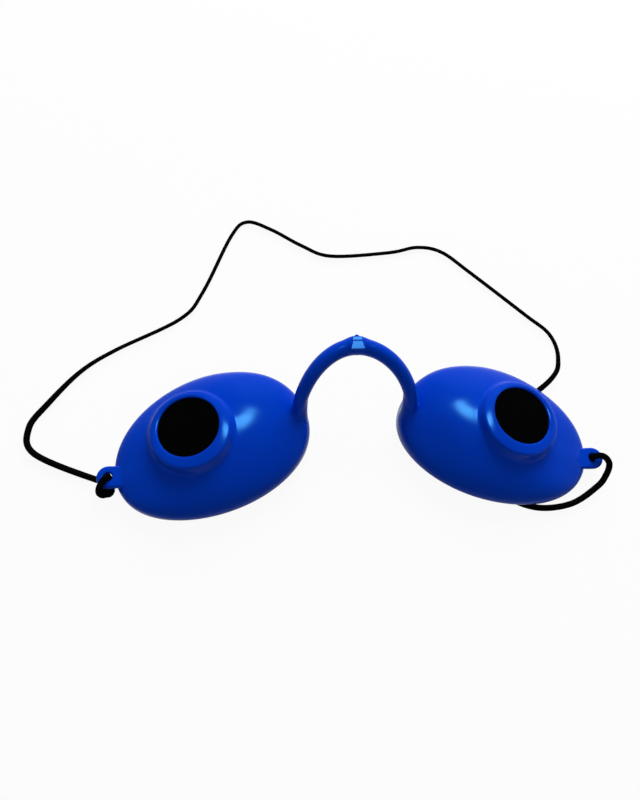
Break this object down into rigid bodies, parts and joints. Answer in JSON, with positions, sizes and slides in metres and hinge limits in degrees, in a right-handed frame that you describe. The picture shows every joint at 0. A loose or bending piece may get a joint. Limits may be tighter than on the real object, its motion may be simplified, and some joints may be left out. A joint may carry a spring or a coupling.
{
  "type": "uv protection glasses",
  "caption": "Small eye cups with dark round filter lenses on a flexible nose bridge, held by an elastic cord, to shield the eyes from ultraviolet lamps.",
  "frame": {"origin": "middle of the base of the cups and the bridge, without the cord, on the surface that the rims rest on", "axes": "+Z away from the face, up as the object lies on a table; +Y towards the wearer's forehead; +X along the line of the eyes, towards the cup on the right in the picture"},
  "size_m": [0.1401, 0.084, 0.0193],
  "materials": {
    "blue_plastic": "glossy moulded, deep blue",
    "dark_lens": "polished, almost opaque black",
    "black_elastic": "fine braided elastic"
  },
  "bodies": {
    "left_side": {"left_cup": "blue_plastic", "left_lens": "dark_lens", "nose_bridge": "blue_plastic", "elastic_cord": "black_elastic", "left_knot": "black_elastic"},
    "right_side": {"right_cup": "blue_plastic", "right_lens": "dark_lens", "right_knot": "black_elastic"}
  },
  "joints": [
    {"name": "bridge_flex", "type": "hinge", "parent": "left_side", "child": "right_side", "pos_m": [0, 0.0165, 0.0169], "axis": [0, 1, 0], "range_deg": [-10, 25], "stiffness_Nm_per_rad": 0.09, "deforming": ["nose_bridge", "elastic_cord"]}
  ]
}
